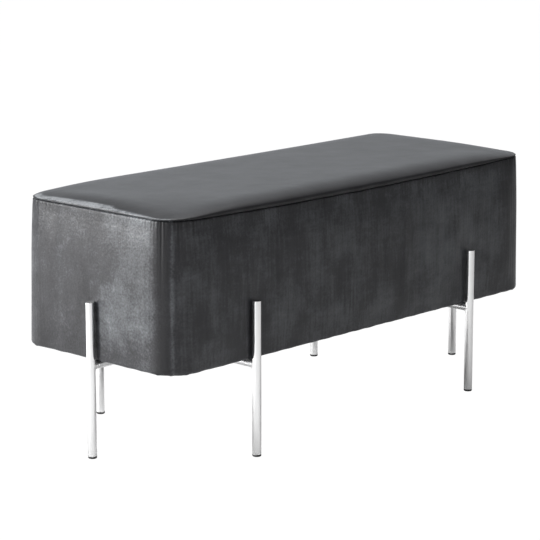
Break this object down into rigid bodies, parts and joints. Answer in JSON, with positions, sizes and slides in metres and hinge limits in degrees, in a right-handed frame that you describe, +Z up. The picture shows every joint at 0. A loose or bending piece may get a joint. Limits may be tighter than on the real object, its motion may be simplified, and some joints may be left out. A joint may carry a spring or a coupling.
{
  "type": "upholstered_bench",
  "caption": "Box-shaped upholstered bench in charcoal velvet on polished round tube legs that stand outside the seat and rise partway up its sides",
  "frame": {"origin": "on the floor under the centre of the bench's outline", "axes": "+X along the seat, +Y from the front of the seat to its back, +Z up"},
  "size_m": [1.0326, 0.4226, 0.457],
  "materials": {
    "velvet": "matte",
    "lining": "matte",
    "padding": "matte",
    "plywood": "matte",
    "polished_tube": "polished",
    "plated_steel": "satin",
    "foot_plastic": "satin"
  },
  "bodies": {
    "root": {"back_board": "plywood", "base_rail_left": "plywood", "base_rail_right": "plywood", "corner_post_back_left": "plywood", "corner_post_back_right": "plywood", "corner_post_front_left": "plywood", "corner_post_front_right": "plywood", "crossbar_left": "polished_tube", "crossbar_right": "polished_tube", "deck_board": "plywood", "dust_cover": "lining", "feet": "foot_plastic", "frame_bolts": "plated_steel", "frame_nuts": "plated_steel", "front_board": "plywood", "left_end_board": "plywood", "leg_back_left": "polished_tube", "leg_back_right": "polished_tube", "leg_end_left": "polished_tube", "leg_end_right": "polished_tube", "leg_front_left": "polished_tube", "leg_front_right": "polished_tube", "middle_rib": "plywood", "right_end_board": "plywood", "seat_foam": "padding", "side_cover": "velvet", "strut_left": "polished_tube", "strut_rail_left": "plywood", "strut_rail_right": "plywood", "strut_right": "polished_tube", "top_cover": "velvet", "wadding": "padding"}
  },
  "joints": []
}
